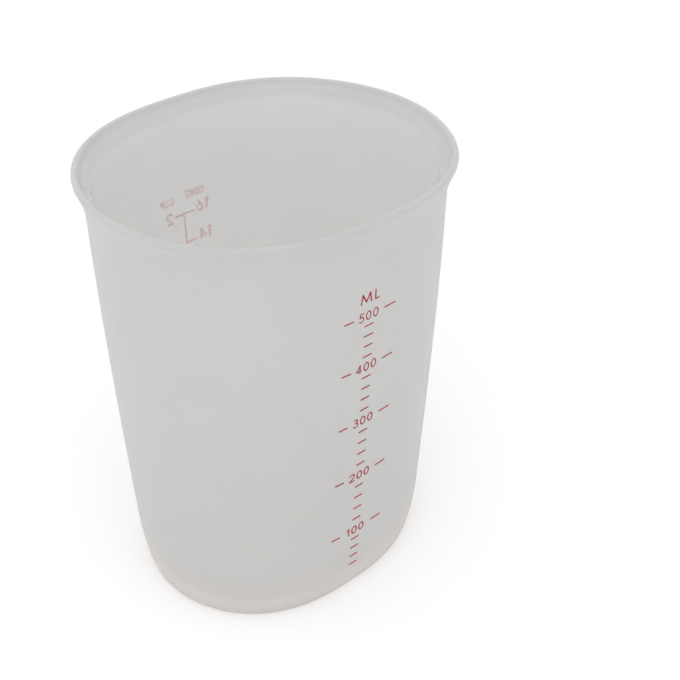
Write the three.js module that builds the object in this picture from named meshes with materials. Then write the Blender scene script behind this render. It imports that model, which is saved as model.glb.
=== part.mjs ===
// A soft silicone measuring cup: one thin oval moulding with a flared rim, and two scales printed on it.
// Millimetres, +Z up. The cup stands on z = 0, with its long axis along X and its middle on the Z axis.
// The millilitre scale faces -Y, and the ounce and cup scale faces +Y.

import * as THREE from 'three';

// Cup
const HEIGHT = 150;
const MOUTH_LENGTH = 111.6; // over the rim, along X
const MOUTH_WIDTH = 102.2; // over the rim, along Y
const FOOT_LENGTH = 104.8; // where the wall lines would meet the table if the edge were sharp
const FOOT_WIDTH = 85;
const SIDE_POWER = 2.5; // 2 gives an oval the sides of an ellipse, and more gives flatter ones
const END_POWER = 1.9; // the same for its ends, where less is tighter
const WALL = 2.4;
const FLOOR = 3;
const WALL_BOW = 0.95; // how far the wall bows out of a straight line
const BOW_LIFT = 0.38; // 0 has the deepest bow at half height, and more lifts it
const RIM_OVERHANG = 2.6;
const RIM_OUTER_FLARE = 8; // height of the flare on the outside, from the middle of its bend
const RIM_OUTER_BEND = 4.5; // half the height of that bend
const RIM_INNER_FLARE = 5.5; // the same two on the inside
const RIM_INNER_BEND = 1.6;
const FOOT_EDGE_HEIGHT = 22;
const FOOT_EDGE_INSET = 2.75;
const INSIDE_EDGE_RADIUS = 10;

// Printed marks
const INK_THICKNESS = 0.2;
const INK_CLEARANCE = 0.1; // between the ink and the wall behind it
const FIRST_MARK_STROKE = 0.68; // width of a line at the lowest number
const TOP_MARK_STROKE = 0.44;
const MARK_CROWDING = 0.227; // 0 spaces the marks evenly, and more crowds them towards the rim
const TOP_MARK_BELOW_RIM = 31;
const FIRST_NUMBER_HEIGHT = 31;
const LOWEST_MARK_HEIGHT = 13.4;

// Millilitre scale, with u measured to the right by a reader who faces it
const ML_CENTRE = -2.1;
const ML_STEP = 20;
const ML_NUMBERED_STEP = 100;
const ML_FULL = 500;
const SHORT_MARK = 3.5;
const LEFT_LONG_MARK = 3.4;
const RIGHT_LONG_MARK = 4.4;
const FIRST_NUMBER_SPACE = 13.2; // kept clear for a number between a pair of long marks
const TOP_NUMBER_SPACE = 11;

// Ounce and cup scale: a stem with ounce marks on its left and half-cup marks on its right
const LADDER_CENTRE = 0.7;
const LADDER_REACH = 4.2;
const LADDER_STROKE = 0.6;
const LADDER_DROP = 4.8; // how far it sits below the level of the millilitre scale
const OUNCE_STEP = 2;
const OUNCE_FULL = 16;
const OUNCES_PER_HALF_CUP = 4;
const ML_PER_OUNCE = 29.57;

// Facets
const RING_POINTS = 64;
const WALL_STEPS = 9;
const FLARE_STEPS = 5;
const RIM_STEPS = 6;
const EDGE_STEPS = 5;
const MARK_STEPS = 2;

const FLARE_TOP = HEIGHT - WALL / 2; // where the two flares of the rim are a wall apart
const OUTER_BEND_FOOT = HEIGHT - RIM_OUTER_FLARE - RIM_OUTER_BEND;
const INNER_BEND_FOOT = HEIGHT - RIM_INNER_FLARE - RIM_INNER_BEND;
const FRONT = -1;
const BACK = 1;

const { lerp, mapLinear, clamp } = THREE.MathUtils;

function steps(from, to, count) {
  return Array.from({ length: count + 1 }, (_, i) => lerp(from, to, i / count));
}

// Rise above the middle of a bend, eased in from 0 along the bend.
function eased(rise, bend) {
  if (rise > bend) return rise;
  return rise > -bend ? (rise + bend) ** 2 / (4 * bend) : 0;
}

// How far a flare of the rim stands out at a height.
function flareOut(z, flareHeight, bend) {
  const middle = HEIGHT - flareHeight;
  return (RIM_OVERHANG * eased(z - middle, bend)) / eased(FLARE_TOP - middle, bend);
}

// Half length and half width of the cup at a height, moved out by a distance.
function halves(z, outwards) {
  const rise = z / HEIGHT;
  const bow = 4 * WALL_BOW * rise * (1 - rise) * (1 + BOW_LIFT * (2 * rise - 1));
  const edge = clamp(1 - z / FOOT_EDGE_HEIGHT, 0, 1);
  const inset = FOOT_EDGE_INSET * (1 - Math.sqrt(1 - edge * edge));
  const reach = bow - inset + outwards;
  return {
    length: lerp(FOOT_LENGTH / 2, MOUTH_LENGTH / 2 - RIM_OVERHANG, rise) + reach,
    width: lerp(FOOT_WIDTH / 2, MOUTH_WIDTH / 2 - RIM_OVERHANG, rise) + reach,
  };
}

function outerHalves(z) {
  return halves(z, flareOut(z, RIM_OUTER_FLARE, RIM_OUTER_BEND));
}

function innerHalves(z, inset = 0) {
  return halves(z, flareOut(z, RIM_INNER_FLARE, RIM_INNER_BEND) - WALL - inset);
}

// One closed ring of points at a level.
function ring(half, level) {
  return Array.from({ length: RING_POINTS }, (_, i) => {
    const angle = (i / RING_POINTS) * 2 * Math.PI;
    const c = Math.cos(angle);
    const s = Math.sin(angle);
    const x = half.length * Math.sign(c) * Math.abs(c) ** (2 / SIDE_POWER);
    const y = half.width * Math.sign(s) * Math.abs(s) ** (2 / END_POWER);
    return new THREE.Vector3(x, y, level);
  });
}

// Angle by which the top of a flare leans out.
function flareLean(flareHeight, bend) {
  return Math.atan2(RIM_OVERHANG, eased(flareHeight - WALL / 2, bend));
}

// The round top of the rim, which both flares run into: the angles at which it leaves them, its radius, and
// its centre, measured across from the inner flare and up from the top of the flares.
function rimRound() {
  const outerLean = flareLean(RIM_OUTER_FLARE, RIM_OUTER_BEND);
  const innerLean = flareLean(RIM_INNER_FLARE, RIM_INNER_BEND);
  const touches = new THREE.Matrix3(
    Math.cos(outerLean), -Math.sin(outerLean), 1,
    -Math.cos(innerLean), Math.sin(innerLean), 1,
    0, 1, 1,
  );
  const reaches = new THREE.Vector3(WALL * Math.cos(outerLean), 0, WALL / 2);
  const [across, rise, radius] = reaches.applyMatrix3(touches.invert()).toArray();
  return { outerLean, innerLean, across, rise, radius };
}

// Rings from the edge of the underside, up the outside, over the rim and down to the floor inside.
function cupRings() {
  const quarter = Math.PI / 2;
  const outerRing = (z) => ring(outerHalves(z), z);
  const innerRing = (z) => ring(innerHalves(z), z);
  const footEdge = steps(0, quarter, EDGE_STEPS).map((turn) => {
    return outerRing(FOOT_EDGE_HEIGHT * (1 - Math.cos(turn)));
  });
  const outerWall = steps(FOOT_EDGE_HEIGHT, OUTER_BEND_FOOT, WALL_STEPS).slice(1).map(outerRing);
  const { outerLean, innerLean, across, rise, radius } = rimRound();
  const rimMiddle = FLARE_TOP + rise;
  const outerFlareTop = rimMiddle - radius * Math.sin(outerLean);
  const innerFlareTop = rimMiddle + radius * Math.sin(innerLean);
  const outerFlare = steps(OUTER_BEND_FOOT, outerFlareTop, FLARE_STEPS).slice(1).map(outerRing);
  const rim = steps(-outerLean, Math.PI - innerLean, RIM_STEPS).slice(1).map((turn) => {
    const half = innerHalves(FLARE_TOP, -across - radius * Math.cos(turn));
    return ring(half, rimMiddle + radius * Math.sin(turn));
  });
  const insideEdgeTop = FLOOR + INSIDE_EDGE_RADIUS;
  const innerFlare = steps(innerFlareTop, INNER_BEND_FOOT, FLARE_STEPS).slice(1).map(innerRing);
  const innerWall = steps(INNER_BEND_FOOT, insideEdgeTop, WALL_STEPS).slice(1).map(innerRing);
  const innerEdge = steps(quarter, 0, EDGE_STEPS).slice(1).map((turn) => {
    const z = FLOOR + INSIDE_EDGE_RADIUS * (1 - Math.cos(turn));
    return ring(innerHalves(z, INSIDE_EDGE_RADIUS * (1 - Math.sin(turn))), z);
  });
  return [...footEdge, ...outerWall, ...outerFlare, ...rim, ...innerFlare, ...innerWall, ...innerEdge];
}

function geometryFrom(points, triangles) {
  const geometry = new THREE.BufferGeometry().setFromPoints(points);
  geometry.setIndex(triangles);
  geometry.computeVertexNormals();
  return geometry;
}

// A skin over rings of equal count, closed by a fan at each end.
function loft(rings) {
  const count = rings[0].length;
  const last = rings.length - 1;
  const start = new THREE.Vector3(0, 0, rings[0][0].z);
  const end = new THREE.Vector3(0, 0, rings[last][0].z);
  const points = [...rings.flat(), start, end];
  const startIndex = points.length - 2;
  const endIndex = points.length - 1;
  const triangles = [];
  for (let j = 0; j < count; j += 1) {
    const next = (j + 1) % count;
    triangles.push(startIndex, next, j);
    for (let i = 0; i < last; i += 1) {
      const a = i * count + j;
      const b = i * count + next;
      triangles.push(a, b, b + count, a, b + count, a + count);
    }
    triangles.push(endIndex, last * count + j, last * count + next);
  }
  return geometryFrom(points, triangles);
}

// A point over the outer wall, at u to the right of a reader who faces that side.
function overWall(side, u, z, lift) {
  const half = outerHalves(z);
  const x = -side * u;
  const share = Math.abs(x / (half.length + lift)) ** SIDE_POWER;
  return new THREE.Vector3(x, side * (half.width + lift) * (1 - share) ** (1 / END_POWER), z);
}

// A closed layer of ink on the inked cells of a grid of columns (u) and rows (z).
function inkLayer(side, columns, rows, isInked) {
  const points = [];
  for (const lift of [INK_CLEARANCE, INK_CLEARANCE + INK_THICKNESS]) {
    for (const z of rows) {
      for (const u of columns) {
        points.push(overWall(side, u, z, lift));
      }
    }
  }
  const layer = columns.length * rows.length;
  const at = (column, row) => row * columns.length + column;
  const inked = (column, row) =>
    column >= 0 && row >= 0 && column < columns.length - 1 && row < rows.length - 1 && isInked(column, row);
  const triangles = [];
  const quad = (a, b, c, d) => triangles.push(a, b, c, a, c, d);
  const wall = (a, b) => quad(a, b, b + layer, a + layer);
  for (let row = 0; row < rows.length - 1; row += 1) {
    for (let column = 0; column < columns.length - 1; column += 1) {
      if (!inked(column, row)) continue;
      const a = at(column, row);
      const b = at(column + 1, row);
      const c = at(column + 1, row + 1);
      const d = at(column, row + 1);
      quad(d, c, b, a);
      quad(a + layer, b + layer, c + layer, d + layer);
      if (!inked(column, row - 1)) wall(a, b);
      if (!inked(column + 1, row)) wall(b, c);
      if (!inked(column, row + 1)) wall(c, d);
      if (!inked(column - 1, row)) wall(d, a);
    }
  }
  return usedPoints(points, triangles);
}

// Keeps only the points that the triangles use.
function usedPoints(points, triangles) {
  const used = [...new Set(triangles)];
  const place = new Map(used.map((index, i) => [index, i]));
  return geometryFrom(used.map((index) => points[index]), triangles.map((index) => place.get(index)));
}

// Share of the way from the first numbered line to the top one.
function scaleShare(ml) {
  return (ml - ML_NUMBERED_STEP) / (ML_FULL - ML_NUMBERED_STEP);
}

// Height of the printed line for a volume: even below the first number, crowding towards the rim above it.
function markHeight(ml) {
  if (ml < ML_NUMBERED_STEP) {
    return mapLinear(ml, ML_STEP, ML_NUMBERED_STEP, LOWEST_MARK_HEIGHT, FIRST_NUMBER_HEIGHT);
  }
  const share = scaleShare(ml);
  const crowded = share + MARK_CROWDING * share * (1 - share);
  return lerp(FIRST_NUMBER_HEIGHT, HEIGHT - TOP_MARK_BELOW_RIM, crowded);
}

// The lower and upper edge of a printed line.
function lineEdges(z, stroke) {
  return [z - stroke / 2, z + stroke / 2];
}

function mlMark(centre, length, ml) {
  const columns = steps(centre - length / 2, centre + length / 2, MARK_STEPS);
  const stroke = lerp(FIRST_MARK_STROKE, TOP_MARK_STROKE, scaleShare(ml));
  return inkLayer(FRONT, columns, lineEdges(markHeight(ml), stroke), () => true);
}

function ounceLadder() {
  const edges = [-LADDER_REACH, -LADDER_STROKE / 2, LADDER_STROKE / 2, LADDER_REACH];
  const columns = edges.map((u) => LADDER_CENTRE + u);
  const stemColumn = 1;
  const cupColumn = 2;
  const ounces = [];
  for (let ounce = OUNCE_STEP; ounce <= OUNCE_FULL; ounce += OUNCE_STEP) {
    ounces.push(ounce);
  }
  const rows = ounces.flatMap((ounce) =>
    lineEdges(markHeight(ounce * ML_PER_OUNCE) - LADDER_DROP, LADDER_STROKE));
  return inkLayer(BACK, columns, rows, (column, row) => {
    const onMark = row % 2 === 0;
    if (column === stemColumn) return true;
    if (column === cupColumn) return onMark && ounces[row / 2] % OUNCES_PER_HALF_CUP === 0;
    return onMark;
  });
}

const silicone = { color: '#cbcac8', roughness: 0.5, metalness: 0 };
const ink = { color: '#a8323e', roughness: 0.6, metalness: 0 };

function piece(name, geometry, finish) {
  const mesh = new THREE.Mesh(geometry, new THREE.MeshStandardMaterial(finish));
  mesh.name = name;
  return mesh;
}

function mlScale() {
  const scale = new THREE.Group();
  for (let ml = ML_STEP; ml <= ML_FULL; ml += ML_STEP) {
    const label = `ml_mark_${String(ml).padStart(3, '0')}`;
    if (ml % ML_NUMBERED_STEP === 0) {
      const space = lerp(FIRST_NUMBER_SPACE, TOP_NUMBER_SPACE, scaleShare(ml));
      const left = ML_CENTRE - (space + LEFT_LONG_MARK) / 2;
      const right = ML_CENTRE + (space + RIGHT_LONG_MARK) / 2;
      scale.add(piece(`${label}_left`, mlMark(left, LEFT_LONG_MARK, ml), ink));
      scale.add(piece(`${label}_right`, mlMark(right, RIGHT_LONG_MARK, ml), ink));
    } else {
      scale.add(piece(label, mlMark(ML_CENTRE, SHORT_MARK, ml), ink));
    }
  }
  return scale;
}

const cup = new THREE.Group();
cup.add(piece('cup_body', loft(cupRings()), silicone));
cup.add(mlScale());
cup.add(piece('ounce_cup_ladder', ounceLadder(), ink));

export default cup;
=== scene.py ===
"""Render model of a soft silicone measuring cup, laid out as a Blender add-on.

The wall of the cup follows one formula, which the moulding and everything printed on it share.
Lengths are in metres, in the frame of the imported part: +Z up, the long axis of the oval along X,
the millilitre scale on the -Y side and the ounce and cup scale on the +Y side.
"""

import math

import bpy
import numpy as np
from bpy.props import FloatProperty, FloatVectorProperty, IntProperty, PointerProperty
from mathutils import Matrix, Vector


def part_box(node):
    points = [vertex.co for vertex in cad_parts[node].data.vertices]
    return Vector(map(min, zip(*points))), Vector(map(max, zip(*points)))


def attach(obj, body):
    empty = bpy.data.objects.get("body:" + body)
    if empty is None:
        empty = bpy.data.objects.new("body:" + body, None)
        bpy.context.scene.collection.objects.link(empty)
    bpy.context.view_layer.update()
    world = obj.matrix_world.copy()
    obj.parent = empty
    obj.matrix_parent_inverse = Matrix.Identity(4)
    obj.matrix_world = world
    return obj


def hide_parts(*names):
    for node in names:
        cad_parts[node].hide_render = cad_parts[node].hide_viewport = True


bl_info = {
    "name": "Silicone Measuring Cup",
    "version": (1, 0, 0),
    "blender": (4, 5, 0),
    "location": "View3D > Sidebar > Measuring Cup",
    "description": "Builds a translucent silicone measuring cup with its printed scales",
    "category": "Add Mesh",
}

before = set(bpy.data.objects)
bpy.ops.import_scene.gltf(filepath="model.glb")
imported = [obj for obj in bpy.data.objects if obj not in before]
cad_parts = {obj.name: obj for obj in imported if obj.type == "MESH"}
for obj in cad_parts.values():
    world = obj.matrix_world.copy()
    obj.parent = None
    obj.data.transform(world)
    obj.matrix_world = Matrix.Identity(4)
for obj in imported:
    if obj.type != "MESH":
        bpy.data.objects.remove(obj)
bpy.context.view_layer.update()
CUP_LOW, CUP_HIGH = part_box("cup_body")
LADDER_LOW, LADDER_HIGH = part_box("ounce_cup_ladder")

BODY = "root"
FRONT = -1
BACK = 1
ML_STEP = 20
ML_NUMBERED_STEP = 100
ML_FULL = 500
OUNCE_STEP = 2
OUNCE_FULL = 16
OUNCES_PER_HALF_CUP = 4
ML_PER_OUNCE = 29.57
ML_VOLUMES = range(ML_STEP, ML_FULL + 1, ML_STEP)
ML_NUMBERED = range(ML_NUMBERED_STEP, ML_FULL + 1, ML_NUMBERED_STEP)
OUNCES = range(OUNCE_STEP, OUNCE_FULL + 1, OUNCE_STEP)

# Half-cup numbers by their ounces, where h stands for the sign one half
CUP_LABELS = {4: "h", 8: "1", 12: "1h", 16: "2"}

# Waves of the soft wall: how often each goes round, its share, where it starts and how it twists up the wall
WOBBLE_WAVES = ((2, 1.0, 0.7, 2.1), (3, 0.6, -1.3, -3.4), (5, 0.35, 0.4, 7.0))

SHARP_ANGLE = math.radians(50)
LEAST_UPWARD_NORMAL = 0.5
ARC_STEP_DEGREES = 9
LEAST_ARC_POINTS = 8
CLIP_START = 0.01
WHITE = (1.0, 1.0, 1.0, 1.0)

# Share of a grid cell that the edge of the ink keeps from the grid's points, so that no face is a sliver
EDGE_MARGIN = 0.1

# Least squared length of a stroke's span, so that nothing is divided by zero
NO_LENGTH = 1e-18


def length_property(name, description, default):
    return FloatProperty(
        name=name, description=description, default=default, subtype="DISTANCE", unit="LENGTH", precision=5
    )


def number_property(name, description, default):
    return FloatProperty(name=name, description=description, default=default, precision=4)


def angle_property(name, description, degrees):
    return FloatProperty(name=name, description=description, default=math.radians(degrees), subtype="ANGLE")


def power_property(name, description, default):
    return FloatProperty(name=name, description=description, default=default, unit="POWER")


def camera_property(name, description, default):
    return FloatProperty(name=name, description=description, default=default, unit="CAMERA", precision=4)


def place_property(name, description, default):
    return FloatVectorProperty(
        name=name, description=description, default=default, subtype="TRANSLATION", unit="LENGTH", size=3
    )


def colour_property(name, description, default):
    return FloatVectorProperty(
        name=name, description=description, default=default, subtype="COLOR", size=3, min=0.0, max=1.0
    )


class CupShape(bpy.types.PropertyGroup):
    """Sizes of the moulding."""

    height: length_property("Height", "From the table to the top of the rim", CUP_HIGH.z - CUP_LOW.z)
    mouth_length: length_property("Mouth length", "Over the rim, along X", CUP_HIGH.x - CUP_LOW.x)
    mouth_width: length_property("Mouth width", "Over the rim, along Y", CUP_HIGH.y - CUP_LOW.y)
    foot_length: length_property("Foot length", "Where the wall lines would meet the table, along X", 0.1048)
    foot_width: length_property("Foot width", "Where the wall lines would meet the table, along Y", 0.085)
    side_power: number_property("Side power", "2 gives the sides of an ellipse, and more flatter ones", 2.5)
    end_power: number_property("End power", "2 gives the ends of an ellipse, and less tighter ones", 1.9)
    wall: length_property("Wall", "Thickness of the wall", 0.0024)
    floor: length_property("Floor", "Thickness of the floor", 0.003)
    wall_bow: length_property("Wall bow", "How far the wall bows out of a straight line", 0.00095)
    bow_lift: number_property("Bow lift", "0 has the deepest bow at half height, and more lifts it", 0.38)
    rim_overhang: length_property("Rim overhang", "How far the rim flares out", 0.0026)
    rim_outer_flare: length_property("Rim outer flare", "Height above the middle of the outer bend", 0.008)
    rim_outer_bend: length_property("Rim outer bend", "Half the height of the outer bend", 0.0045)
    rim_inner_flare: length_property("Rim inner flare", "Height above the middle of the inner bend", 0.0055)
    rim_inner_bend: length_property("Rim inner bend", "Half the height of the inner bend", 0.0016)
    foot_edge_height: length_property("Foot edge height", "Height of the rounded foot edge", 0.022)
    foot_edge_inset: length_property("Foot edge inset", "How far the foot edge draws in", 0.00275)
    # Painted shade along the foot's lowest edge, next to the table, reaches up to this height.
    sole_edge_height: length_property("Sole edge height", "Height of the darker edge at the table", 0.0105)
    inside_edge_radius: length_property("Inside edge radius", "Round edge between wall and floor", 0.01)
    wobble: length_property("Wobble", "How far the soft wall strays from its true form", 0.00012)
    ring_points: IntProperty(name="Ring points", description="Points around the cup", default=192, min=32)


class PrintStyle(bpy.types.PropertyGroup):
    """Sizes of what is printed on the cup."""

    first_number_stroke: length_property("First number stroke", "Width of the lowest number's lines", 0.00054)
    top_number_stroke: length_property("Top number stroke", "Width of the highest number's lines", 0.00036)
    unit_stroke: length_property("Unit stroke", "Width of the millilitre heading's lines", 0.00047)
    ladder_stroke: length_property("Ladder stroke", "Width of the ladder's lines and numbers", 0.0006)
    first_number_height: length_property("First number height", "Height of the lowest number", 0.0032)
    top_number_height: length_property("Top number height", "Height of the highest number", 0.0028)
    number_space: number_property("Number space", "Between two digits, as a share of their height", 0.36)
    number_shift: length_property("Number shift", "How far the numbers sit left of the marks", 0.00025)
    unit_height: length_property("Unit height", "Height of the millilitre heading", 0.0030)
    unit_space: number_property("Unit space", "Between its two letters, as a share of their height", 0.50)
    unit_rise: length_property("Unit rise", "From the top number to its heading", 0.0061)
    ladder_number_height: length_property("Ladder number height", "Height of ounce and cup numbers", 0.0038)
    ounce_rise: length_property("Ounce rise", "From an ounce mark up to the middle of its number", 0.0012)
    ladder_unit_height: length_property("Ladder unit height", "Height of the ounce and cup headings", 0.0025)
    ladder_unit_stroke: length_property("Ladder unit stroke", "Width of those headings' lines", 0.00038)
    ounce_heading_centre: length_property("Ounce heading centre", "From the stem, to the right", -0.0050)
    ounce_heading_length: length_property("Ounce heading length", "Length of the word", 0.0074)
    ounce_heading_rise: length_property("Ounce heading rise", "From the top mark up to the word", 0.0067)
    cup_heading_centre: length_property("Cup heading centre", "From the stem, to the right", 0.0063)
    cup_heading_length: length_property("Cup heading length", "Length of the word", 0.0053)
    cup_heading_rise: length_property("Cup heading rise", "From the top mark up to the word", 0.0061)
    ounce_gap: length_property("Ounce gap", "From the end of an ounce mark to its number", 0.0013)
    cup_gap: length_property("Cup gap", "From the end of a half-cup mark to its number", 0.0005)
    letter_space: number_property("Letter space", "Between a heading's letters, as a share of height", 0.36)
    proud: length_property("Proud", "How far the ink stands off the wall", 0.00003)
    sunk: length_property("Sunk", "How far the ink soaks into the wall", 0.00004)
    grid: length_property("Grid", "Pitch of the ink's mesh", 0.0001)


class CupFinish(bpy.types.PropertyGroup):
    """Colours and gloss of the cup and its ink, with painted light low down inside and painted shade on the
    flares, the rim's top and the foot's lowest edge.
    """

    silicone: colour_property("Silicone", "Milky colour of the outside", (0.703, 0.70, 0.691))
    # Painted light: low down inside, the silicone is given a lighter colour than outside, where the deep
    # inside would lie in shade.
    inner_silicone: colour_property("Inner silicone", "Milky colour low down inside", (0.745, 0.741, 0.73))
    # The painted light low down fades into this colour between half height and the inner flare.
    inner_top_tint: colour_property("Inner top tint", "Milky colour high up inside", (0.70, 0.696, 0.686))
    foot_tint: colour_property("Foot tint", "Warmer colour where the foot is thicker", (0.73, 0.691, 0.664))
    # Painted shade: the foot's lowest edge next to the table is given a darker colour.
    sole_tint: colour_property("Sole tint", "Darker colour of the foot's lowest edge", (0.645, 0.608, 0.585))
    # Painted shade: the outer flare is a little darker than the wall below it, and the rim starts from this
    # colour.
    flare_tint: colour_property("Flare tint", "Colour of the flare outside", (0.69, 0.686, 0.677))
    # Painted shade: the inner flare is greyer than the inner wall below its bend.
    inner_flare_tint: colour_property("Inner flare tint", "Greyer flare inside", (0.59, 0.582, 0.582))
    # Painted shade: the rim's round top is greyer than the flares.
    rim: colour_property("Rim", "Greyer colour of the rim's round top", (0.606, 0.599, 0.595))
    ink: colour_property("Ink", "Dark red of the print", (0.37, 0.010, 0.020))
    ink_glow: colour_property("Ink glow", "Colour of light that comes through the ink", (0.86, 0.12, 0.27))
    ink_thinness: number_property("Ink thinness", "Share of the light that comes through the ink", 0.80)
    outside_roughness: number_property("Outside roughness", "Satin outside", 0.46)
    inside_roughness: number_property("Inside roughness", "Smoother inside", 0.20)
    scatter: length_property("Scatter", "How far light spreads inside the silicone", 0.0009)
    see_through: number_property("See-through", "Share of light that passes straight through a face", 0.30)
    rim_see_through: number_property("Rim see-through", "The same for the rim, thick along its edge", 0.05)


class StageSettings(bpy.types.PropertyGroup):
    """Floor, light and camera."""

    floor_size: length_property("Floor size", "Side of the square floor", 6.0)
    floor_colour: colour_property("Floor colour", "Pale floor", (0.86, 0.86, 0.86))
    floor_glow: number_property("Floor glow", "Brings the floor up to white", 0.12)
    far_glow: number_property("Far glow", "The same for the far floor", 0.30)
    near_floor: length_property("Near floor", "From the cup to where the far glow starts", 0.35)
    far_floor: length_property("Far floor", "From the cup to where the far glow is whole", 1.2)
    world_strength: number_property("World strength", "Even light from all round", 0.80)
    key_power: power_property("Key power", "Large lamp at the front left", 2.0)
    key_place: place_property("Key place", "Where the lamp at the front left is", (-0.95, -0.85, 0.42))
    top_power: power_property("Top power", "Large lamp overhead", 1.9)
    top_place: place_property("Top place", "Where the lamp overhead is", (-0.3, -0.3, 1.1))
    lamp_size: length_property("Lamp size", "Side of each square lamp", 0.9)
    azimuth: angle_property("Azimuth", "Camera's turn about Z", -36.576)
    elevation: angle_property("Elevation", "Camera's height angle", 37.498)
    roll: angle_property("Roll", "Camera's tilt", -2.357)
    distance: length_property("Distance", "From the camera to the middle of the cup", 0.34074)
    lens: camera_property("Lens", "Focal length", 54.4255)
    sensor: camera_property("Sensor", "Width of the sensor", 36.0)
    shift_x: number_property("Shift X", "Sideways shift of the picture", 0.0976)
    shift_y: number_property("Shift Y", "Upward shift of the picture", 0.02618)


# Wall of the cup


def eased(rise, bend):
    """Rise above the middle of a bend, eased in from 0 along the bend."""
    return np.where(rise > bend, rise, np.maximum(rise + bend, 0) ** 2 / (4 * bend))


def flare_out(shape, z, flare_height, bend):
    """How far a flare of the rim stands out at heights z."""
    middle = shape.height - flare_height
    flare_top = shape.height - shape.wall / 2
    return shape.rim_overhang * eased(z - middle, bend) / eased(flare_top - middle, bend)


def halves(shape, z, outwards):
    """Half length and half width of the cup at heights z, moved out by a distance."""
    rise = z / shape.height
    bow = 4 * shape.wall_bow * rise * (1 - rise) * (1 + shape.bow_lift * (2 * rise - 1))
    edge = np.clip(1 - z / shape.foot_edge_height, 0, 1)
    inset = shape.foot_edge_inset * (1 - np.sqrt(1 - edge * edge))
    reach = bow - inset + outwards
    length = shape.foot_length / 2 * (1 - rise) + (shape.mouth_length / 2 - shape.rim_overhang) * rise
    width = shape.foot_width / 2 * (1 - rise) + (shape.mouth_width / 2 - shape.rim_overhang) * rise
    return length + reach, width + reach


def outer_halves(shape, z):
    return halves(shape, z, flare_out(shape, z, shape.rim_outer_flare, shape.rim_outer_bend))


def inner_halves(shape, z):
    return halves(shape, z, flare_out(shape, z, shape.rim_inner_flare, shape.rim_inner_bend) - shape.wall)


def wobble(shape, turn, z):
    """Slow unevenness of the soft wall, none at the foot."""
    rise = z / shape.height
    waves = 0.0
    for often, share, start, twist in WOBBLE_WAVES:
        waves = waves + share * np.sin(often * turn + start + twist * rise)
    return shape.wobble * rise * waves


def ring(shape, half_sizes, level, inset=0.0):
    """One closed ring of points at a level."""
    angle = np.arange(shape.ring_points) * 2 * math.pi / shape.ring_points
    along = np.sign(np.cos(angle)) * np.abs(np.cos(angle)) ** (2 / shape.side_power)
    across = np.sign(np.sin(angle)) * np.abs(np.sin(angle)) ** (2 / shape.end_power)
    length, width = half_sizes
    stray = wobble(shape, np.arctan2(across, along), level) - inset
    return np.column_stack([(length + stray) * along, (width + stray) * across, np.full_like(angle, level)])


def over_wall(shape, side, u, z, lift):
    """Points over the outer wall, at u to the right of a reader who faces that side."""
    length, width = outer_halves(shape, z)
    x = -side * u
    share = np.abs(x / length) ** shape.side_power
    across = side * (1 - share) ** (1 / shape.end_power)
    stray = wobble(shape, np.arctan2(across, x / length), z) + lift
    share = np.abs(x / (length + stray)) ** shape.side_power
    y = side * (width + stray) * (1 - share) ** (1 / shape.end_power)
    return np.column_stack([x, y, z])


def flare_lean(shape, flare_height, bend):
    """Angle by which the top of a flare leans out."""
    return math.atan2(shape.rim_overhang, eased(flare_height - shape.wall / 2, bend))


def rim_round(shape):
    """The round top of the rim, which both flares run into: its leans, and its centre and radius.

    The centre is measured out from the inner flare and up from the height where the flares are a wall apart.
    """
    outer_lean = flare_lean(shape, shape.rim_outer_flare, shape.rim_outer_bend)
    inner_lean = flare_lean(shape, shape.rim_inner_flare, shape.rim_inner_bend)
    touches = [
        [math.cos(outer_lean), -math.sin(outer_lean), 1],
        [-math.cos(inner_lean), math.sin(inner_lean), 1],
        [0, 1, 1],
    ]
    across, rise, radius = np.linalg.solve(touches, [shape.wall * math.cos(outer_lean), 0, shape.wall / 2])
    return outer_lean, inner_lean, across, rise, radius


def cup_rings(shape):
    """Rings up the outside, over the rim and down to the floor inside."""
    foot_edge_steps = 20
    wall_steps = 44
    flare_steps = 24
    rim_steps = 14
    quarter = math.pi / 2
    flare_top = shape.height - shape.wall / 2
    outer_lean, inner_lean, across, rise, radius = rim_round(shape)
    middle = flare_top + rise
    outer_bend_foot = shape.height - shape.rim_outer_flare - shape.rim_outer_bend
    inner_bend_foot = shape.height - shape.rim_inner_flare - shape.rim_inner_bend
    inside_edge_top = shape.floor + shape.inside_edge_radius
    foot_edge = shape.foot_edge_height * (1 - np.cos(np.linspace(0, quarter, foot_edge_steps)))
    outer_wall = np.linspace(shape.foot_edge_height, outer_bend_foot, wall_steps)[1:]
    outer_flare = np.linspace(outer_bend_foot, middle - radius * math.sin(outer_lean), flare_steps)[1:]
    inner_flare = np.linspace(middle + radius * math.sin(inner_lean), inner_bend_foot, flare_steps)[1:]
    inner_wall = np.linspace(inner_bend_foot, inside_edge_top, wall_steps)[1:]
    rings = [ring(shape, outer_halves(shape, z), z) for z in (*foot_edge, *outer_wall, *outer_flare)]
    for turn in np.linspace(-outer_lean, math.pi - inner_lean, rim_steps)[1:]:
        outwards = across + radius * math.cos(turn)
        level = middle + radius * math.sin(turn)
        rings.append(ring(shape, inner_halves(shape, flare_top), level, -outwards))
    rings += [ring(shape, inner_halves(shape, z), z) for z in (*inner_flare, *inner_wall)]
    for turn in np.linspace(quarter, 0, foot_edge_steps)[1:]:
        z = shape.floor + shape.inside_edge_radius * (1 - math.cos(turn))
        inset = shape.inside_edge_radius * (1 - math.sin(turn))
        rings.append(ring(shape, inner_halves(shape, z), z, inset))
    return rings


def disc_rings(outline, level, steps):
    """Rings that close a disc from its outline in to its middle, without the outline itself."""
    shares = np.linspace(1, 0, steps + 1)[1:-1]
    return [np.column_stack([outline[:, :2] * share, np.full(len(outline), level)]) for share in shares]


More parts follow.
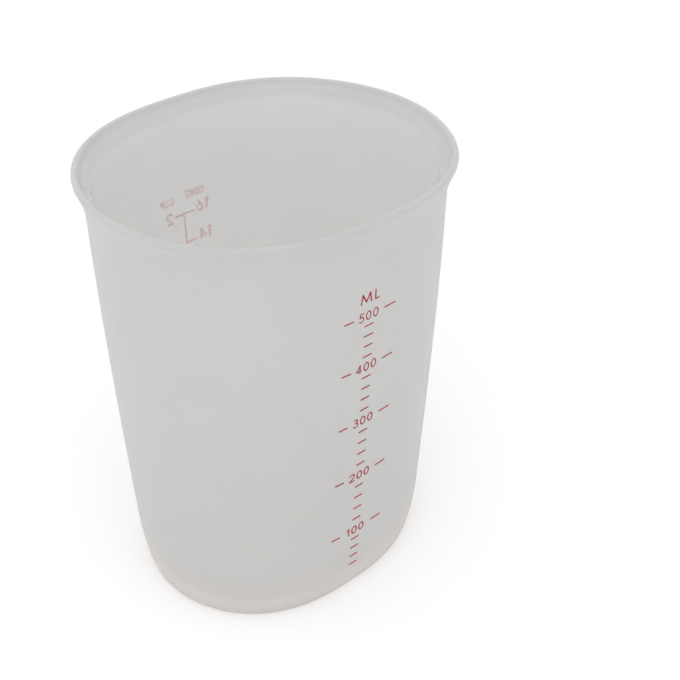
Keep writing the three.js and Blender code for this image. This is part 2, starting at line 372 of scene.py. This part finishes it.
def loft(rings):
    """Vertices and faces of a skin over rings, closed at both ends by a fan."""
    count = len(rings[0])
    last = len(rings) - 1
    middle_first = [0.0, 0.0, rings[0][0, 2]]
    middle_last = [0.0, 0.0, rings[last][0, 2]]
    vertices = np.vstack([*rings, middle_first, middle_last])
    first_index = len(vertices) - 2
    last_index = len(vertices) - 1
    faces = []
    for j in range(count):
        following = (j + 1) % count
        faces.append((first_index, following, j))
        for i in range(last):
            a = i * count + j
            b = i * count + following
            faces.append((a, b, b + count, a + count))
        faces.append((last_index, last * count + j, last * count + following))
    return vertices, faces


def add_piece(name, vertices, faces, material):
    """A smooth mesh object that rides on the cup's one body."""
    mesh = bpy.data.meshes.new(name)
    mesh.from_pydata([tuple(v) for v in vertices], [], faces)
    mesh.materials.append(material)
    mesh.shade_smooth()
    mesh.set_sharp_from_angle(angle=SHARP_ANGLE)
    piece = bpy.data.objects.new(name, mesh)
    bpy.context.scene.collection.objects.link(piece)
    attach(piece, BODY)
    return piece


# Lettering: each letter is a width and a list of strokes, in a box one unit high


def line(*points):
    return np.array(points, float)


def arc(centre, radii, start, end):
    """Points on an ellipse from one angle to another, in degrees."""
    count = max(LEAST_ARC_POINTS, int(abs(end - start) / ARC_STEP_DEGREES))
    angle = np.radians(np.linspace(start, end, count))
    return np.column_stack([centre[0] + radii[0] * np.cos(angle), centre[1] + radii[1] * np.sin(angle)])


def shrink(strokes, scale, right, up):
    """Strokes made smaller and moved."""
    return [stroke * scale + np.array([right, up]) for stroke in strokes]


LETTERS = {
    "0": (0.58, [arc((0.29, 0.5), (0.29, 0.5), 0, 360)]),
    "1": (0.30, [line((0.0, 0.80), (0.24, 1.0), (0.24, 0.0))]),
    "2": (
        0.60,
        [np.vstack([arc((0.30, 0.70), (0.28, 0.30), 165, -38), line((0.0, 0.0), (0.60, 0.0))])],
    ),
    "3": (
        0.54,
        [
            arc((0.26, 0.765), (0.23, 0.235), 150, -90),
            arc((0.26, 0.265), (0.28, 0.265), 90, -150),
        ],
    ),
    "4": (0.62, [line((0.46, 0.0), (0.46, 1.0), (0.0, 0.27), (0.62, 0.27))]),
    "5": (
        0.54,
        [
            np.vstack(
                [line((0.49, 1.0), (0.15, 1.0), (0.07, 0.53)), arc((0.26, 0.32), (0.28, 0.32), 125, -145)]
            )
        ],
    ),
    "6": (0.58, [arc((0.29, 0.31), (0.29, 0.31), 0, 360), line((0.46, 1.0), (0.05, 0.46))]),
    "8": (
        0.56,
        [arc((0.28, 0.76), (0.22, 0.24), 0, 360), arc((0.28, 0.26), (0.28, 0.26), 0, 360)],
    ),
    "M": (1.20, [line((0.0, 0.0), (0.15, 1.0), (0.60, 0.10), (1.05, 1.0), (1.20, 0.0))]),
    "L": (0.40, [line((0.0, 1.0), (0.0, 0.0), (0.40, 0.0))]),
    "O": (0.90, [arc((0.45, 0.5), (0.45, 0.5), 0, 360)]),
    "U": (
        0.66,
        [np.vstack([line((0.0, 1.0)), arc((0.33, 0.32), (0.33, 0.32), 180, 360), line((0.66, 1.0))])],
    ),
    "N": (0.70, [line((0.0, 0.0), (0.0, 1.0), (0.70, 0.0), (0.70, 1.0))]),
    "C": (0.78, [arc((0.48, 0.5), (0.48, 0.5), 48, 312)]),
    "E": (0.50, [line((0.50, 1.0), (0.0, 1.0), (0.0, 0.0), (0.50, 0.0)), line((0.0, 0.52), (0.44, 0.52))]),
    "P": (
        0.54,
        [
            np.vstack(
                [line((0.0, 0.0), (0.0, 1.0)), arc((0.26, 0.74), (0.28, 0.26), 90, -90), line((0.0, 0.48))]
            )
        ],
    ),
}
HALF_SCALE = 0.52
LETTERS["h"] = (
    0.92,
    [
        *shrink(LETTERS["1"][1], HALF_SCALE, 0.02, 0.48),
        line((0.12, 0.0), (0.74, 1.0)),
        *shrink(LETTERS["2"][1], HALF_SCALE, 0.59, 0.0),
    ],
)


def word_width(text, height, space):
    return height * (sum(LETTERS[c][0] for c in text) + space * (len(text) - 1))


def word_strokes(text, height, left, middle, space, squeeze=1.0):
    """Strokes of a word that starts at left and is centred on the height middle."""
    size = height * np.array([squeeze, 1.0])
    strokes = []
    for c in text:
        width, letter = LETTERS[c]
        strokes += [stroke * size + np.array([left, middle - height / 2]) for stroke in letter]
        left += size[0] * (width + space)
    return strokes


# Ink


def ink_field(strokes, width, grid):
    """Grid origin, and how far inside the ink each grid point lies."""
    reach = width / 2 + 2 * grid
    points = np.vstack(strokes)
    low = points.min(0) - reach
    counts = np.ceil((points.max(0) + reach - low) / grid).astype(int) + 1
    us = low[0] + grid * np.arange(counts[0])
    zs = low[1] + grid * np.arange(counts[1])
    place = np.stack(np.meshgrid(us, zs, indexing="ij"), -1)
    nearest = np.full(place.shape[:2], np.inf)
    for stroke in strokes:
        for a, b in zip(stroke[:-1], stroke[1:]):
            span = b - a
            share = np.clip(((place - a) @ span) / max(span @ span, NO_LENGTH), 0, 1)
            away = place - a - share[..., None] * span
            nearest = np.minimum(nearest, np.hypot(away[..., 0], away[..., 1]))
    return low, width / 2 - nearest


def ink_outline(strokes, width, grid):
    """Flat polygons of the inked area, as points and faces, with the edge cut across the grid's cells."""
    low, depth = ink_field(strokes, width, grid)
    inside = depth > 0
    cells = inside[:-1, :-1] | inside[1:, :-1] | inside[1:, 1:] | inside[:-1, 1:]
    points = []
    index = {}

    def add(key, place):
        """Index of a point, which is made when it is first asked for."""
        if key not in index:
            index[key] = len(points)
            points.append(low + grid * np.array(place, float))
        return index[key]

    def crossing(a, b):
        """Index of the point where the edge of the ink passes between two grid points."""
        first, second = sorted((a, b))
        share = depth[first] / (depth[first] - depth[second])
        share = min(max(share, EDGE_MARGIN), 1 - EDGE_MARGIN)
        place = (first[0] + share * (second[0] - first[0]), first[1] + share * (second[1] - first[1]))
        return add((first, second), place)

    faces = []
    for i, j in np.argwhere(cells).tolist():
        corners = [(i, j), (i + 1, j), (i + 1, j + 1), (i, j + 1)]
        face = []
        for corner, following in zip(corners, corners[1:] + corners[:1]):
            if inside[corner]:
                face.append(add(corner, corner))
            if inside[corner] != inside[following]:
                face.append(crossing(corner, following))
        if len(face) > 2:
            faces.append(tuple(face))
    return np.array(points), faces


def ink_solid(shape, style, side, strokes, width):
    """A closed film of ink on the wall, from strokes in reader's coordinates (u, z).

    Returns its vertices, its faces and which of the faces lie against the silicone.
    """
    points, front = ink_outline(strokes, width, style.grid)
    count = len(points)
    outer = over_wall(shape, side, points[:, 0], points[:, 1], style.proud)
    inner = over_wall(shape, side, points[:, 0], points[:, 1], -style.sunk)
    faces = list(front)
    faces += [tuple(i + count for i in reversed(face)) for face in front]
    edges = {edge for face in front for edge in zip(face, face[1:] + face[:1])}
    for a, b in sorted(edges):
        if (b, a) not in edges:
            faces.append((b, a, a + count, b + count))
    return np.vstack([outer, inner]), faces, range(len(front), 2 * len(front))


def print_piece(name, side, strokes, width):
    """A printed mark, number or word on one side of the cup."""
    scene = bpy.context.scene
    vertices, faces, bonded = ink_solid(scene.cup_shape, scene.cup_print, side, strokes, width)
    piece = add_piece(name, vertices, faces, outer_ink(scene.cup_finish))
    piece.data.materials.append(bonded_ink(scene.cup_finish))
    for face in bonded:
        piece.data.polygons[face].material_index = 1
    return piece


def ml_mark_names(ml):
    """Names of the CAD nodes that mark a volume."""
    label = f"ml_mark_{ml:03d}"
    if ml % ML_NUMBERED_STEP == 0:
        return [f"{label}_left", f"{label}_right"]
    return [label]


def ml_mark_height(ml):
    """Height of a volume's line, read from the frame and interpolated between marks."""
    heights = []
    for volume in ML_VOLUMES:
        low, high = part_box(ml_mark_names(volume)[0])
        heights.append((low.z + high.z) / 2)
    return float(np.interp(ml, ML_VOLUMES, heights))


def ml_centre():
    """Reader's coordinate of the middle of the millilitre scale, between a pair of long marks."""
    left, right = ml_mark_names(ML_FULL)
    return (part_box(left)[1].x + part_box(right)[0].x) / 2


def ladder_centre():
    """Reader's coordinate of the ladder's upright. On the back of the cup it runs against X."""
    return -(LADDER_LOW.x + LADDER_HIGH.x) / 2


def ladder_reach():
    """How far the ladder's marks reach to each side of its upright."""
    return (LADDER_HIGH.x - LADDER_LOW.x) / 2


def ladder_height(style, ounces):
    """Height of an ounce mark: the millilitre law, set down to where the ladder's top mark is."""
    top = LADDER_HIGH.z - style.ladder_stroke / 2
    return ml_mark_height(ounces * ML_PER_OUNCE) - ml_mark_height(OUNCE_FULL * ML_PER_OUNCE) + top


# Node helpers and shared effects


def new_group(name, inputs, outputs):
    """A shader node group with named sockets, its tree, and its input and output nodes."""
    tree = bpy.data.node_groups.new(name, "ShaderNodeTree")
    for socket, kind, default in inputs:
        made = tree.interface.new_socket(socket, in_out="INPUT", socket_type=kind)
        made.default_value = default
    for socket, kind in outputs:
        tree.interface.new_socket(socket, in_out="OUTPUT", socket_type=kind)
    return tree, tree.nodes.new("NodeGroupInput"), tree.nodes.new("NodeGroupOutput")


def node(tree, kind, inputs=None, **settings):
    """A node with its settings and unlinked input values."""
    made = tree.nodes.new(kind)
    for key, value in settings.items():
        setattr(made, key, value)
    for key, value in (inputs or {}).items():
        made.inputs[key].default_value = value
    return made


def place_group(tree, group, inputs):
    """A shared effect, placed in a material with its own values."""
    return node(tree, "ShaderNodeGroup", inputs, node_tree=group)


def mottle_group():
    """Slow cloudiness: a colour made a little lighter and darker in soft patches."""
    if "Soft Mottle" in bpy.data.node_groups:
        return bpy.data.node_groups["Soft Mottle"]
    tree, given, result = new_group(
        "Soft Mottle",
        [
            ("Color", "NodeSocketColor", (0.5, 0.5, 0.5, 1.0)),
            ("Patches", "NodeSocketFloat", 60.0),
            ("Amount", "NodeSocketFloat", 0.02),
        ],
        [("Color", "NodeSocketColor")],
    )
    place = node(tree, "ShaderNodeTexCoord")
    noise = node(tree, "ShaderNodeTexNoise", {"Detail": 3.0, "Roughness": 0.5})
    centred = node(tree, "ShaderNodeMath", {1: 0.5}, operation="SUBTRACT")
    scaled = node(tree, "ShaderNodeMath", operation="MULTIPLY")
    factor = node(tree, "ShaderNodeMath", {1: 1.0}, operation="ADD")
    tinted = node(tree, "ShaderNodeVectorMath", operation="SCALE")
    tree.links.new(place.outputs["Object"], noise.inputs["Vector"])
    tree.links.new(given.outputs["Patches"], noise.inputs["Scale"])
    tree.links.new(noise.outputs["Fac"], centred.inputs[0])
    tree.links.new(centred.outputs[0], scaled.inputs[0])
    tree.links.new(given.outputs["Amount"], scaled.inputs[1])
    tree.links.new(scaled.outputs[0], factor.inputs[0])
    tree.links.new(given.outputs["Color"], tinted.inputs[0])
    tree.links.new(factor.outputs[0], tinted.inputs["Scale"])
    tree.links.new(tinted.outputs[0], result.inputs["Color"])
    return tree


def grain_group():
    """Fine satin grain: a height for bump, and a roughness that varies with it."""
    if "Satin Grain" in bpy.data.node_groups:
        return bpy.data.node_groups["Satin Grain"]
    tree, given, result = new_group(
        "Satin Grain",
        [
            ("Grain", "NodeSocketFloat", 2500.0),
            ("Waves", "NodeSocketFloat", 90.0),
            ("Roughness", "NodeSocketFloat", 0.5),
            ("Spread", "NodeSocketFloat", 0.08),
        ],
        [("Height", "NodeSocketFloat"), ("Roughness", "NodeSocketFloat")],
    )
    place = node(tree, "ShaderNodeTexCoord")
    fine = node(tree, "ShaderNodeTexNoise", {"Detail": 2.0, "Roughness": 0.6})
    broad = node(tree, "ShaderNodeTexNoise", {"Detail": 1.0, "Roughness": 0.4})
    broad_share = 4.0
    height = node(tree, "ShaderNodeMath", {1: broad_share}, operation="MULTIPLY_ADD")
    centred = node(tree, "ShaderNodeMath", {1: 0.5}, operation="SUBTRACT")
    rough = node(tree, "ShaderNodeMath", operation="MULTIPLY_ADD")
    tree.links.new(place.outputs["Object"], fine.inputs["Vector"])
    tree.links.new(place.outputs["Object"], broad.inputs["Vector"])
    tree.links.new(given.outputs["Grain"], fine.inputs["Scale"])
    tree.links.new(given.outputs["Waves"], broad.inputs["Scale"])
    tree.links.new(broad.outputs["Fac"], height.inputs[0])
    tree.links.new(fine.outputs["Fac"], height.inputs[2])
    tree.links.new(broad.outputs["Fac"], centred.inputs[0])
    tree.links.new(centred.outputs[0], rough.inputs[0])
    tree.links.new(given.outputs["Spread"], rough.inputs[1])
    tree.links.new(given.outputs["Roughness"], rough.inputs[2])
    tree.links.new(height.outputs[0], result.inputs["Height"])
    tree.links.new(rough.outputs[0], result.inputs["Roughness"])
    return tree


def new_material(name):
    """An empty node material with its Principled shader."""
    material = bpy.data.materials.new(name)
    material.use_nodes = True
    tree = material.node_tree
    shader = tree.nodes["Principled BSDF"]
    return material, tree, shader


def grain_bump(tree, shader, grain, strength, distance):
    """Gives a shader the bump and the roughness of a grain."""
    bump = node(tree, "ShaderNodeBump", {"Strength": strength, "Distance": distance})
    tree.links.new(grain.outputs["Height"], bump.inputs["Height"])
    tree.links.new(bump.outputs["Normal"], shader.inputs["Normal"])
    tree.links.new(grain.outputs["Roughness"], shader.inputs["Roughness"])


def open_backs(tree, shader):
    """Lets light that is inside the wall leave it freely, so that the wall is shaded once and not twice."""
    geometry = node(tree, "ShaderNodeNewGeometry")
    clear = node(tree, "ShaderNodeBsdfTransparent")
    mix = node(tree, "ShaderNodeMixShader")
    tree.links.new(geometry.outputs["Backfacing"], mix.inputs[0])
    tree.links.new(shader.outputs[0], mix.inputs[1])
    tree.links.new(clear.outputs[0], mix.inputs[2])
    tree.links.new(mix.outputs[0], tree.nodes["Material Output"].inputs["Surface"])


def height_tints(tree, colour, tints):
    """A colour that goes over to each tint in turn, between the two heights given with it."""
    place = node(tree, "ShaderNodeTexCoord")
    axes = node(tree, "ShaderNodeSeparateXYZ")
    tree.links.new(place.outputs["Object"], axes.inputs[0])
    blended = None
    for start, end, tint in tints:
        heights = {"From Min": start, "From Max": end}
        share = node(tree, "ShaderNodeMapRange", heights, interpolation_type="SMOOTHSTEP")
        blend = node(tree, "ShaderNodeMix", data_type="RGBA")
        blend.inputs["A"].default_value = (*colour, 1.0)
        blend.inputs["B"].default_value = (*tint, 1.0)
        tree.links.new(axes.outputs["Z"], share.inputs["Value"])
        tree.links.new(share.outputs["Result"], blend.inputs["Factor"])
        if blended:
            tree.links.new(blended, blend.inputs["A"])
        blended = blend.outputs["Result"]
    return blended


def silicone_material(name, finish, colour, tints, roughness, see_through):
    """Milky silicone: light spreads inside it, and a little passes straight through."""
    material, tree, shader = new_material(name)
    mottle = place_group(tree, mottle_group(), {"Patches": 45.0, "Amount": 0.05})
    grain = place_group(tree, grain_group(), {"Roughness": roughness, "Spread": 0.12})
    tree.links.new(height_tints(tree, colour, tints), mottle.inputs["Color"])
    tree.links.new(mottle.outputs["Color"], shader.inputs["Base Color"])
    grain_bump(tree, shader, grain, strength=0.2, distance=0.00002)
    shader.inputs["IOR"].default_value = 1.41
    shader.inputs["Specular IOR Level"].default_value = 0.3
    shader.inputs["Subsurface Weight"].default_value = 1.0
    shader.inputs["Subsurface Radius"].default_value = (1.0, 1.0, 0.97)
    shader.inputs["Subsurface Scale"].default_value = finish.scatter
    shader.inputs["Transmission Weight"].default_value = see_through
    open_backs(tree, shader)
    return material


def bend_ends(shape, flare_height, bend):
    """Heights where a bend of the rim starts and ends."""
    middle = shape.height - flare_height
    return middle - bend, middle + bend


def satin_silicone(shape, finish):
    """Finish of the outside, with painted shade along the foot's lowest edge and on the flare."""
    bend = bend_ends(shape, shape.rim_outer_flare, shape.rim_outer_bend)
    tints = [
        (shape.foot_edge_height, shape.sole_edge_height, finish.foot_tint),
        # Painted shade along the foot's lowest edge, next to the table.
        (shape.sole_edge_height, 0.0, finish.sole_tint),
        # Painted shade on the outer flare.
        (*bend, finish.flare_tint),
    ]
    return silicone_material(
        "satin_silicone", finish, finish.silicone, tints, finish.outside_roughness, finish.see_through
    )


def smooth_silicone(shape, finish):
    """Finish of the inside, with painted light that makes it lighter low down and painted shade on its flare.
    """
    bend = bend_ends(shape, shape.rim_inner_flare, shape.rim_inner_bend)
    tints = [
        (shape.foot_edge_height, 0.0, finish.foot_tint),
        # Painted light: the lighter colour low down inside fades into the top tint from half height up.
        (shape.height / 2, bend[0], finish.inner_top_tint),
        # Painted shade on the inner flare, above its bend.
        (*bend, finish.inner_flare_tint),
    ]
    return silicone_material(
        "smooth_silicone", finish, finish.inner_silicone, tints, finish.inside_roughness, finish.see_through
    )


def rim_silicone(shape, finish):
    """Finish of the rim above its bends, with painted shade that is darkest along its top."""
    bend = bend_ends(shape, shape.rim_outer_flare, shape.rim_outer_bend)
    # Painted shade: the rim goes from the outer flare's painted shade to a greyer colour along its round top.
    tints = [(bend[1], shape.height, finish.rim)]
    return silicone_material(
        "rim_silicone", finish, finish.flare_tint, tints, finish.outside_roughness, finish.rim_see_through
    )


def new_ink(name, finish):
    """A material of matte screen-print ink, a little uneven in its colour, with its tree and shader."""
    material, tree, shader = new_material(name)
    unevenness = {"Color": (*finish.ink, 1.0), "Patches": 900.0, "Amount": 0.5}
    mottle = place_group(tree, mottle_group(), unevenness)
    matte = {"Grain": 6000.0, "Waves": 700.0, "Roughness": 0.6, "Spread": 0.2}
    grain = place_group(tree, grain_group(), matte)
    tree.links.new(mottle.outputs["Color"], shader.inputs["Base Color"])
    shader.inputs["Specular IOR Level"].default_value = 0.3
    grain_bump(tree, shader, grain, strength=0.3, distance=0.00001)
    return material, tree, shader


def outer_ink(finish):
    """The face of the ink that is seen from outside."""
    if "red_ink" in bpy.data.materials:
        return bpy.data.materials["red_ink"]
    material, tree, shader = new_ink("red_ink", finish)
    open_backs(tree, shader)
    return material


def bonded_ink(finish):
    """The face against the silicone, which glows red with the light behind it when seen through the wall."""
    if "bonded_ink" in bpy.data.materials:
        return bpy.data.materials["bonded_ink"]
    material, tree, shader = new_ink("bonded_ink", finish)
    passing = node(tree, "ShaderNodeBsdfTransparent", {"Color": (*finish.ink_glow, 1.0)})
    mix = node(tree, "ShaderNodeMixShader", {0: finish.ink_thinness})
    tree.links.new(shader.outputs[0], mix.inputs[1])
    tree.links.new(passing.outputs[0], mix.inputs[2])
    tree.links.new(mix.outputs[0], tree.nodes["Material Output"].inputs["Surface"])
    return material


def seen_directly(tree):
    """A factor of 1 for camera, mirror and see-through rays, and 0 for light that bounces."""
    path = node(tree, "ShaderNodeLightPath")
    first = node(tree, "ShaderNodeMath", operation="MAXIMUM")
    both = node(tree, "ShaderNodeMath", operation="MAXIMUM")
    tree.links.new(path.outputs["Is Camera Ray"], first.inputs[0])
    tree.links.new(path.outputs["Is Glossy Ray"], first.inputs[1])
    tree.links.new(first.outputs[0], both.inputs[0])
    tree.links.new(path.outputs["Is Transmission Ray"], both.inputs[1])
    return both.outputs[0]


def floor_material(stage):
    """Pale floor that reads as white where no shadow falls."""
    material, tree, shader = new_material("pale_floor")
    colour = node(tree, "ShaderNodeMix", data_type="RGBA")
    colour.inputs["A"].default_value = (*stage.floor_colour, 1.0)
    colour.inputs["B"].default_value = WHITE
    place = node(tree, "ShaderNodeTexCoord")
    away = node(tree, "ShaderNodeVectorMath", operation="LENGTH")
    ends = {
        "From Min": stage.near_floor,
        "From Max": stage.far_floor,
        "To Min": stage.floor_glow,
        "To Max": stage.far_glow,
    }
    strength = node(tree, "ShaderNodeMapRange", ends, interpolation_type="SMOOTHSTEP")
    glow = node(tree, "ShaderNodeMath", operation="MULTIPLY")
    seen = seen_directly(tree)
    tree.links.new(place.outputs["Object"], away.inputs[0])
    tree.links.new(away.outputs["Value"], strength.inputs["Value"])
    tree.links.new(strength.outputs["Result"], glow.inputs[1])
    tree.links.new(seen, colour.inputs["Factor"])
    tree.links.new(colour.outputs["Result"], shader.inputs["Base Color"])
    tree.links.new(seen, glow.inputs[0])
    tree.links.new(glow.outputs[0], shader.inputs["Emission Strength"])
    shader.inputs["Emission Color"].default_value = WHITE
    shader.inputs["Roughness"].default_value = 0.9
    shader.inputs["Specular IOR Level"].default_value = 0.1
    return material


# Operators


class CUP_OT_stage(bpy.types.Operator):
    """Floor, soft light and camera"""

    bl_idname = "measuring_cup.stage"
    bl_label = "Stage"

    def execute(self, context):
        stage = context.scene.cup_stage
        self.add_floor(context, stage)
        self.add_world(context, stage)
        middle = Vector((0, 0, context.scene.cup_shape.height / 2))
        self.add_lamp(context, "key_lamp", Vector(stage.key_place), middle, stage.lamp_size, stage.key_power)
        self.add_lamp(context, "top_lamp", Vector(stage.top_place), middle, stage.lamp_size, stage.top_power)
        self.add_camera(context, stage, middle)
        context.scene.view_settings.view_transform = "Standard"
        return {"FINISHED"}

    def add_floor(self, context, stage):
        half = stage.floor_size / 2
        mesh = bpy.data.meshes.new("floor")
        corners = [(-half, -half, 0), (half, -half, 0), (half, half, 0), (-half, half, 0)]
        mesh.from_pydata(corners, [], [(0, 1, 2, 3)])
        mesh.materials.append(floor_material(stage))
        floor = bpy.data.objects.new("floor", mesh)
        context.scene.collection.objects.link(floor)

    def add_world(self, context, stage):
        world = bpy.data.worlds.new("studio")
        world.use_nodes = True
        tree = world.node_tree
        light = tree.nodes["Background"]
        light.inputs["Color"].default_value = WHITE
        light.inputs["Strength"].default_value = stage.world_strength
        white = node(tree, "ShaderNodeBackground", {"Color": WHITE, "Strength": 1.0})
        mix = node(tree, "ShaderNodeMixShader")
        tree.links.new(seen_directly(tree), mix.inputs[0])
        tree.links.new(light.outputs[0], mix.inputs[1])
        tree.links.new(white.outputs[0], mix.inputs[2])
        tree.links.new(mix.outputs[0], tree.nodes["World Output"].inputs["Surface"])
        context.scene.world = world

    def add_lamp(self, context, name, place, target, size, power):
        data = bpy.data.lights.new(name, "AREA")
        data.size = size
        data.energy = power
        lamp = bpy.data.objects.new(name, data)
        lamp.location = place
        lamp.rotation_euler = (target - place).to_track_quat("-Z", "Y").to_euler()
        context.scene.collection.objects.link(lamp)

    def add_camera(self, context, stage, target):
        data = bpy.data.cameras.new("camera")
        data.sensor_width = stage.sensor
        data.lens = stage.lens
        data.shift_x = stage.shift_x
        data.shift_y = stage.shift_y
        data.clip_start = CLIP_START
        camera = bpy.data.objects.new("camera", data)
        level = math.cos(stage.elevation)
        back = Vector(
            (math.sin(stage.azimuth) * level, -math.cos(stage.azimuth) * level, math.sin(stage.elevation))
        )
        upright = (-back).to_track_quat("-Z", "Y").to_matrix().to_4x4()
        roll = Matrix.Rotation(stage.roll, 4, "Z")
        camera.matrix_world = Matrix.Translation(target + back * stage.distance) @ upright @ roll
        context.scene.collection.objects.link(camera)
        context.scene.camera = camera


class CUP_OT_body(bpy.types.Operator):
    """The silicone moulding: wall, floor, rounded foot and flared rim"""

    bl_idname = "measuring_cup.body"
    bl_label = "Silicone Cup"

    def execute(self, context):
        shape = context.scene.cup_shape
        finish = context.scene.cup_finish
        rings = cup_rings(shape)
        disc_steps = 6
        under = disc_rings(rings[0], rings[0][0, 2], disc_steps)
        inside = disc_rings(rings[-1], rings[-1][0, 2], disc_steps)
        vertices, faces = loft([*reversed(under), *rings, *inside])
        piece = add_piece("silicone_cup", vertices, faces, satin_silicone(shape, finish))
        piece.data.materials.append(smooth_silicone(shape, finish))
        piece.data.materials.append(rim_silicone(shape, finish))
        for face in piece.data.polygons:
            if face.center.z > shape.height - shape.wall:
                face.material_index = 2
            elif self.is_inside(shape, face):
                face.material_index = 1
        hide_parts("cup_body")
        return {"FINISHED"}

    def is_inside(self, shape, face):
        """Whether a face looks into the cup: on the inner wall, or on top of the floor."""
        inwards = face.normal.x * face.center.x + face.normal.y * face.center.y < 0
        on_floor = face.normal.z > LEAST_UPWARD_NORMAL and face.center.z < shape.height / 2
        return inwards or on_floor


class CUP_OT_ml_marks(bpy.types.Operator):
    """The printed lines of the millilitre scale"""

    bl_idname = "measuring_cup.ml_marks"
    bl_label = "Millilitre Marks"

    def execute(self, context):
        for ml in ML_VOLUMES:
            for name in ml_mark_names(ml):
                low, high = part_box(name)
                z = (low.z + high.z) / 2
                width = high.z - low.z
                stroke = line((low.x + width / 2, z), (high.x - width / 2, z))
                piece = print_piece(f"printed_{name}", FRONT, [stroke], width)
                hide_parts(name)
        return {"FINISHED"}


class CUP_OT_ml_numbers(bpy.types.Operator):
    """The numbers and the heading of the millilitre scale"""

    bl_idname = "measuring_cup.ml_numbers"
    bl_label = "Millilitre Numbers"

    def execute(self, context):
        style = context.scene.cup_print
        for ml in ML_NUMBERED:
            share = (ml - ML_NUMBERED_STEP) / (ML_FULL - ML_NUMBERED_STEP)
            height = style.first_number_height * (1 - share) + style.top_number_height * share
            width = style.first_number_stroke * (1 - share) + style.top_number_stroke * share
            centre = ml_centre() - style.number_shift
            strokes = self.word(str(ml), height, centre, ml_mark_height(ml), style.number_space)
            print_piece(f"number_{ml}", FRONT, strokes, width)
        heading = ml_mark_height(ML_FULL) + style.unit_rise
        strokes = self.word("ML", style.unit_height, ml_centre(), heading, style.unit_space)
        print_piece("unit_ml", FRONT, strokes, style.unit_stroke)
        return {"FINISHED"}

    def word(self, text, height, centre, middle, space):
        """Strokes of a word that is centred across and in height."""
        left = centre - word_width(text, height, space) / 2
        return word_strokes(text, height, left, middle, space)


class CUP_OT_ladder(bpy.types.Operator):
    """The joined ladder of ounce and half-cup marks"""

    bl_idname = "measuring_cup.ladder"
    bl_label = "Ounce And Cup Ladder"

    def execute(self, context):
        style = context.scene.cup_print
        centre = ladder_centre()
        reach = ladder_reach() - style.ladder_stroke / 2
        foot = ladder_height(style, OUNCE_STEP)
        top = ladder_height(style, OUNCE_FULL)
        strokes = [line((centre, foot), (centre, top))]
        for ounces in OUNCES:
            z = ladder_height(style, ounces)
            right = centre + reach if ounces % OUNCES_PER_HALF_CUP == 0 else centre
            strokes.append(line((centre - reach, z), (right, z)))
        piece = print_piece("printed_ladder", BACK, strokes, style.ladder_stroke)
        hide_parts("ounce_cup_ladder")
        return {"FINISHED"}


class CUP_OT_ladder_numbers(bpy.types.Operator):
    """The numbers and headings beside the ladder"""

    bl_idname = "measuring_cup.ladder_numbers"
    bl_label = "Ounce And Cup Numbers"

    def execute(self, context):
        style = context.scene.cup_print
        ounce_end = ladder_centre() - ladder_reach() - style.ounce_gap
        cup_start = ladder_centre() + ladder_reach() + style.cup_gap
        height = style.ladder_number_height
        for ounces in OUNCES:
            z = ladder_height(style, ounces)
            text = str(ounces)
            left = ounce_end - word_width(text, height, style.number_space)
            strokes = word_strokes(text, height, left, z + style.ounce_rise, style.number_space)
            print_piece(f"number_{text}_ounce", BACK, strokes, style.ladder_stroke)
            if ounces in CUP_LABELS:
                name = f"number_{ounces // OUNCES_PER_HALF_CUP}_half_cup"
                strokes = word_strokes(CUP_LABELS[ounces], height, cup_start, z, style.number_space)
                print_piece(name, BACK, strokes, style.ladder_stroke)
        headings = (
            ("OUNCE", style.ounce_heading_centre, style.ounce_heading_length, style.ounce_heading_rise),
            ("CUP", style.cup_heading_centre, style.cup_heading_length, style.cup_heading_rise),
        )
        for text, centre, length, rise in headings:
            strokes = self.heading(style, text, centre, length, rise)
            print_piece(f"unit_{text.lower()}", BACK, strokes, style.ladder_unit_stroke)
        return {"FINISHED"}

    def heading(self, style, text, centre, length, rise):
        """Strokes of a word that is squeezed to a length, above the ladder."""
        height = style.ladder_unit_height
        middle = ladder_height(style, OUNCE_FULL) + rise
        left = ladder_centre() + centre - length / 2
        squeeze = length / word_width(text, height, style.letter_space)
        return word_strokes(text, height, left, middle, style.letter_space, squeeze)


OPERATORS = (
    CUP_OT_stage,
    CUP_OT_body,
    CUP_OT_ml_marks,
    CUP_OT_ml_numbers,
    CUP_OT_ladder,
    CUP_OT_ladder_numbers,
)


class CUP_PT_panel(bpy.types.Panel):
    """Sizes, colours and the pieces to build"""

    bl_idname = "CUP_PT_panel"
    bl_label = "Measuring Cup"
    bl_space_type = "VIEW_3D"
    bl_region_type = "UI"
    bl_category = "Measuring Cup"

    def draw(self, context):
        for operator in OPERATORS:
            self.layout.operator(operator.bl_idname)
        for name in SETTINGS:
            box = self.layout.box()
            settings = getattr(context.scene, name)
            for key in settings.__annotations__:
                box.prop(settings, key)


SETTINGS = {
    "cup_shape": CupShape,
    "cup_print": PrintStyle,
    "cup_finish": CupFinish,
    "cup_stage": StageSettings,
}
CLASSES = (*SETTINGS.values(), *OPERATORS, CUP_PT_panel)


def register():
    for cls in CLASSES:
        bpy.utils.register_class(cls)
    for name, cls in SETTINGS.items():
        setattr(bpy.types.Scene, name, PointerProperty(type=cls))


def unregister():
    for name in SETTINGS:
        delattr(bpy.types.Scene, name)
    for cls in reversed(CLASSES):
        bpy.utils.unregister_class(cls)


def main():
    register()
    bpy.ops.measuring_cup.stage()
    bpy.ops.measuring_cup.body()
    bpy.ops.measuring_cup.ml_marks()
    bpy.ops.measuring_cup.ml_numbers()
    bpy.ops.measuring_cup.ladder()
    bpy.ops.measuring_cup.ladder_numbers()


if __name__ == "__main__":
    main()
